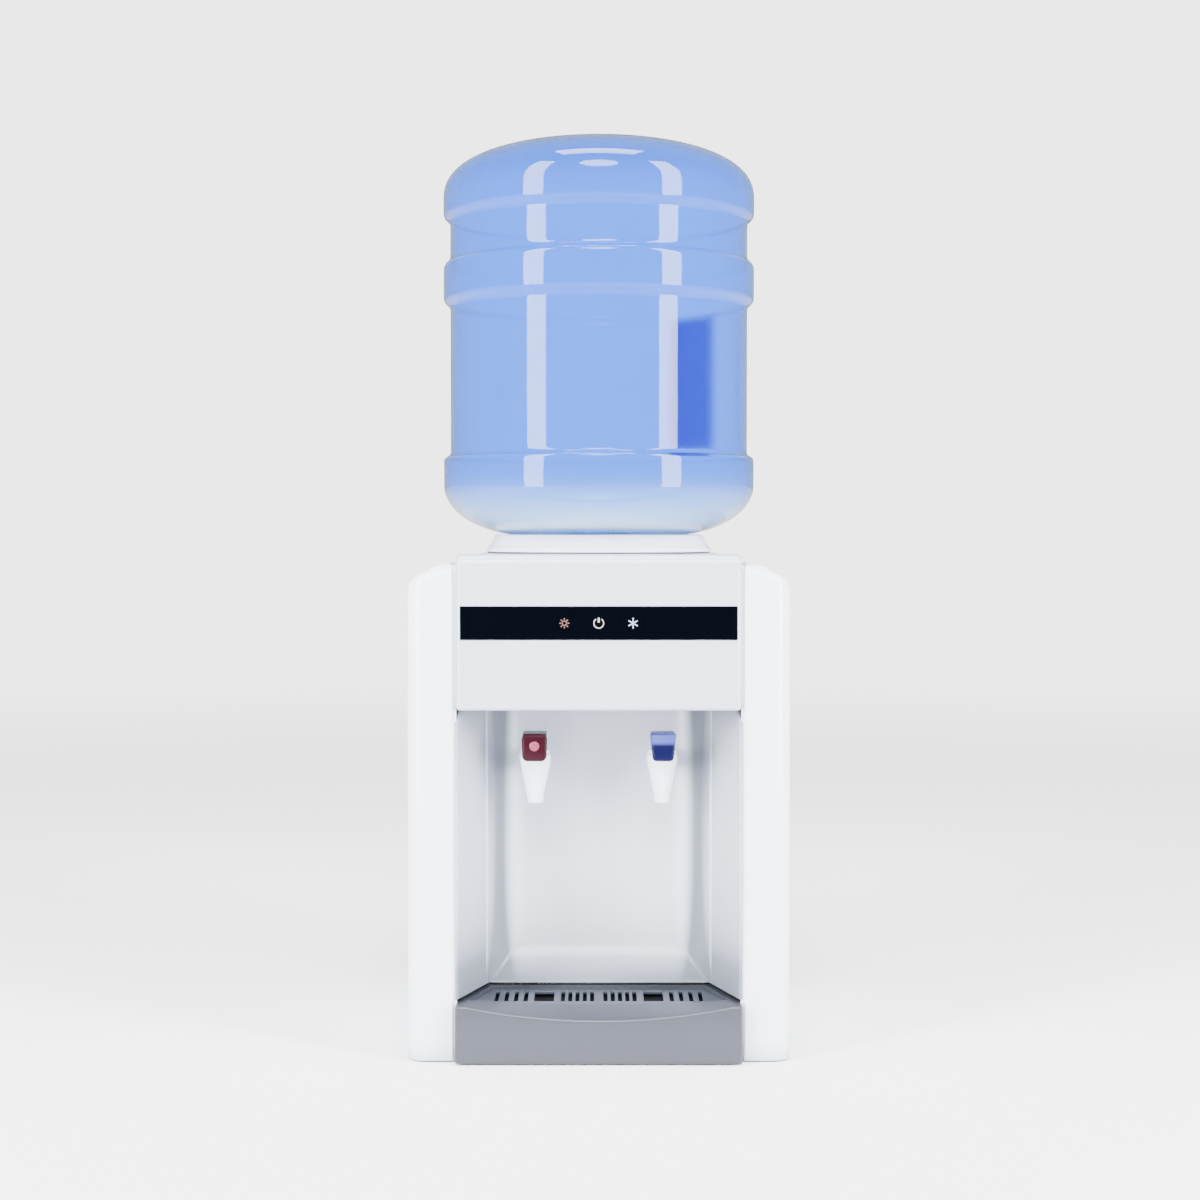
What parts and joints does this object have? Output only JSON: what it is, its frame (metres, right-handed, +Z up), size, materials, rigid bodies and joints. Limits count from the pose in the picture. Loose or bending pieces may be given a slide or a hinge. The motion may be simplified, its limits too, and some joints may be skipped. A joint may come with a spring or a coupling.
{
  "type": "countertop water dispenser",
  "caption": "Countertop water dispenser with an inverted bottle on a collar, hot and cold push taps over a niche, and a pull-out drip tray with a lift-off grille.",
  "frame": {"origin": "on the resting surface, under the middle of the body's bounding box", "axes": "+Z up; the fascia, taps and drip tray face -Y; +X is to the right seen from the front"},
  "size_m": [0.31, 0.322, 0.767],
  "materials": {
    "white_housing": "glossy white moulding",
    "niche_liner": "satin pale grey",
    "silver_trim": "satin silver-grey",
    "grille_grey": "satin dark grey",
    "display_black": "high gloss black",
    "bottle_blue": "clear light blue",
    "hot_red": "deep red",
    "button_pink": "pink",
    "cold_blue": "deep blue",
    "white_inner": "satin white",
    "stainless": "drawn stainless sheet",
    "black_paint": "satin black enamel",
    "black_plastic": "fine matt",
    "foot_rubber": "matt",
    "silicone": "translucent white",
    "foam": "foamed",
    "copper": "drawn tube",
    "board_green": "coated board",
    "lamp_clear": "clear lens",
    "switch_red": "glossy red",
    "switch_green": "glossy green"
  },
  "bodies": {
    "housing": {"base_plate": "black_paint", "foot_front_left": "foot_rubber", "foot_front_right": "foot_rubber", "foot_rear_left": "foot_rubber", "foot_rear_right": "foot_rubber", "side_panel_left": "white_housing", "side_panel_right": "white_housing", "rear_cover": "black_paint", "top_cover": "white_housing", "front_fascia": "white_housing", "display_window": "display_black", "indicator_board": "board_green", "heat_lamp": "lamp_clear", "power_lamp": "lamp_clear", "cool_lamp": "lamp_clear", "niche_liner": "niche_liner", "hot_tap_body": "white_housing", "hot_tap_nut": "white_inner", "hot_tap_bonnet": "white_housing", "hot_lever_pin": "stainless", "hot_tap_spring": "stainless", "cold_tap_body": "white_housing", "cold_tap_nut": "white_inner", "cold_tap_bonnet": "white_housing", "cold_lever_pin": "stainless", "cold_tap_spring": "stainless", "feed_seal": "silicone", "cold_tank": "stainless", "tank_lid": "white_inner", "baffle_disc": "white_inner", "tank_insulation": "foam", "cooling_coil": "copper", "hot_tank": "stainless", "heater_band": "stainless", "thermostat": "black_plastic", "cold_feed_tube": "silicone", "hot_feed_tube": "silicone", "refill_tube": "silicone", "drain_spout": "white_inner", "compressor": "black_paint", "condenser_grid": "black_paint", "condenser_bracket_lower": "black_paint", "condenser_bracket_upper": "black_paint", "heat_switch_frame": "black_plastic", "cool_switch_frame": "black_plastic", "power_inlet": "black_plastic"},
    "collar": {"bottle_collar": "white_housing", "feed_probe": "white_inner"},
    "bottle": {"bottle": "bottle_blue", "bottle_cap": "white_inner"},
    "tray": {"drip_tray": "silver_trim"},
    "grille": {"tray_grille": "grille_grey"},
    "hot_lever": {"hot_tap_lever": "hot_red"},
    "hot_button": {"hot_safety_button": "button_pink"},
    "hot_plunger": {"hot_tap_plunger": "silicone"},
    "cold_lever": {"cold_tap_lever": "cold_blue"},
    "cold_plunger": {"cold_tap_plunger": "silicone"},
    "heat_rocker": {"heat_switch": "switch_red"},
    "cool_rocker": {"cool_switch": "switch_green"},
    "drain_plug": {"drain_cap": "white_inner"}
  },
  "joints": [
    {"name": "collar_lift", "type": "slide", "parent": "housing", "child": "collar", "axis": [0, 0, 1], "range_m": [0, 0.06]},
    {"name": "bottle_lift", "type": "slide", "parent": "collar", "child": "bottle", "axis": [0, 0, 1], "range_m": [0, 0.12]},
    {"name": "tray_pull", "type": "slide", "parent": "housing", "child": "tray", "axis": [0, -1, 0], "range_m": [0, 0.09]},
    {"name": "grille_lift", "type": "slide", "parent": "tray", "child": "grille", "axis": [0, 0, 1], "range_m": [0, 0.06]},
    {"name": "hot_lever_push", "type": "hinge", "parent": "housing", "child": "hot_lever", "pos_m": [-0.0525, -0.114, 0.254], "axis": [1, 0, 0], "range_deg": [0, 15], "stiffness_Nm_per_rad": 0.6, "springref_deg": -8.59},
    {"name": "hot_button_press", "type": "slide", "parent": "hot_lever", "child": "hot_button", "axis": [0, 1, 0], "range_m": [0, 0.0012], "stiffness_N_per_m": 150, "springref_m": -0.002},
    {"name": "hot_plunger_rise", "type": "slide", "parent": "housing", "child": "hot_plunger", "axis": [0, 0, 1], "range_m": [0, 0.0028], "deforming": ["hot_tap_spring"]},
    {"name": "cold_lever_push", "type": "hinge", "parent": "housing", "child": "cold_lever", "pos_m": [0.0525, -0.114, 0.254], "axis": [1, 0, 0], "range_deg": [0, 15], "stiffness_Nm_per_rad": 0.6, "springref_deg": -8.59},
    {"name": "cold_plunger_rise", "type": "slide", "parent": "housing", "child": "cold_plunger", "axis": [0, 0, 1], "range_m": [0, 0.0028], "deforming": ["cold_tap_spring"]},
    {"name": "heat_switch_rock", "type": "hinge", "parent": "housing", "child": "heat_rocker", "pos_m": [0.06, 0.1435, 0.08], "axis": [1, 0, 0], "range_deg": [-14, 0]},
    {"name": "cool_switch_rock", "type": "hinge", "parent": "housing", "child": "cool_rocker", "pos_m": [0.092, 0.1435, 0.08], "axis": [1, 0, 0], "range_deg": [-14, 0]},
    {"name": "drain_cap_pull", "type": "slide", "parent": "housing", "child": "drain_plug", "axis": [0, 1, 0], "range_m": [0, 0.03]}
  ],
  "couplings": [
    {"joint": "hot_plunger_rise", "follows": "hot_lever_push", "m_per_rad": 0.0106},
    {"joint": "cold_plunger_rise", "follows": "cold_lever_push", "m_per_rad": 0.0106}
  ]
}
